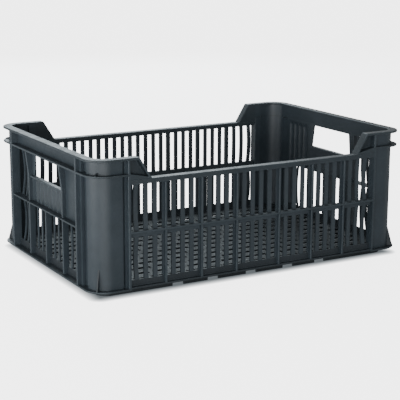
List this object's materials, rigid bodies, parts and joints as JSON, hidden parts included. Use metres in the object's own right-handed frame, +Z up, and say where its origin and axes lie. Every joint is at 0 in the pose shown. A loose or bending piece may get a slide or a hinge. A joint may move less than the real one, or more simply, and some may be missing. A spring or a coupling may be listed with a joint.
{
  "type": "grape harvest tub",
  "caption": "Open stacking harvest crate with slatted sides, a slotted floor, low long sides, high rounded corners and a hand hole through each end.",
  "frame": {"origin": "centre of the footprint, on the surface that the tub stands on", "axes": "+X along the length, +Z up, and -Y towards the long side that faces the viewer in the picture"},
  "size_m": [0.6, 0.4, 0.222],
  "materials": {
    "moulding": "satin"
  },
  "bodies": {
    "root": {"floor_grid": "moulding", "base_plinth": "moulding", "stacking_lugs": "moulding", "post_front_left": "moulding", "post_front_right": "moulding", "post_rear_left": "moulding", "post_rear_right": "moulding", "flanges_front_left": "moulding", "flanges_front_right": "moulding", "flanges_rear_left": "moulding", "flanges_rear_right": "moulding", "ribs_front_left": "moulding", "ribs_front_right": "moulding", "ribs_rear_left": "moulding", "ribs_rear_right": "moulding", "shoulder_front_left": "moulding", "shoulder_front_right": "moulding", "shoulder_rear_left": "moulding", "shoulder_rear_right": "moulding", "corner_gussets": "moulding", "front_rail": "moulding", "front_upper_slats": "moulding", "front_middle_band": "moulding", "front_lower_slats": "moulding", "front_stiles": "moulding", "front_sill": "moulding", "rear_rail": "moulding", "rear_upper_slats": "moulding", "rear_middle_band": "moulding", "rear_lower_slats": "moulding", "rear_stiles": "moulding", "rear_sill": "moulding", "left_rim": "moulding", "left_band": "moulding", "left_grip_flange": "moulding", "left_handle_panel": "moulding", "left_end_ribs": "moulding", "left_end_slats": "moulding", "left_bay_panel": "moulding", "left_middle_rib": "moulding", "left_end_sill": "moulding", "left_base_flange": "moulding", "right_rim": "moulding", "right_band": "moulding", "right_grip_flange": "moulding", "right_handle_panel": "moulding", "right_end_ribs": "moulding", "right_end_slats": "moulding", "right_bay_panel": "moulding", "right_middle_rib": "moulding", "right_end_sill": "moulding", "right_base_flange": "moulding"}
  },
  "joints": []
}
